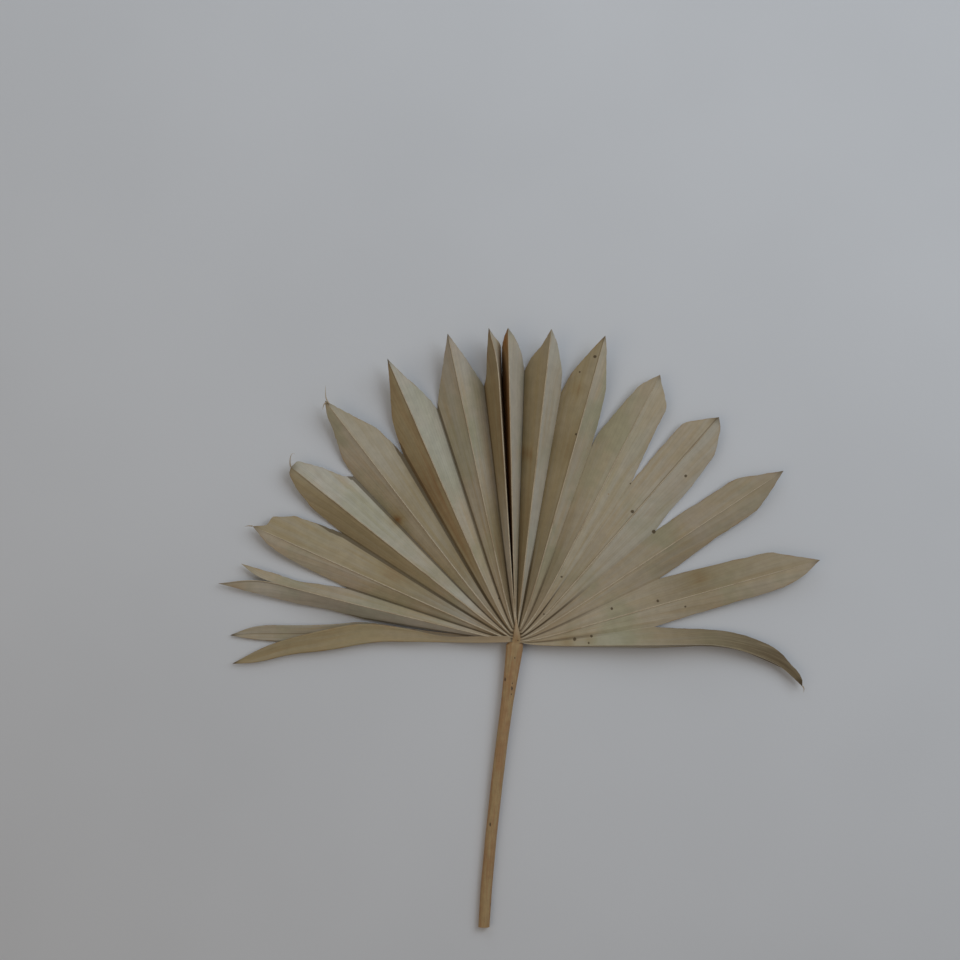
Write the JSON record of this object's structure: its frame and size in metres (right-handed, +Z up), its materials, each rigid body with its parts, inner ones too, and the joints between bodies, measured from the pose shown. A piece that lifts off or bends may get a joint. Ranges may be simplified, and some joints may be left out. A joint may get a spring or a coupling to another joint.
{
  "type": "dried fan palm leaf",
  "caption": "Dried fan palm leaf, cut and laid flat: a pleated grey-beige blade of spear-tipped segments on a thin tan stalk",
  "frame": {"origin": "centre of the box's underside, on the surface that the leaf lies on", "axes": "+X to the leaf's right seen from above, +Y from the stalk towards the tips, +Z up from the surface"},
  "size_m": [0.392, 0.39, 0.0258],
  "materials": {
    "dry_blade": "matt, fine lengthwise veins",
    "dry_stalk": "matt, faintly striped"
  },
  "bodies": {
    "root": {"leaf_fan": "dry_blade", "leaf_stalk": "dry_stalk"}
  },
  "joints": []
}
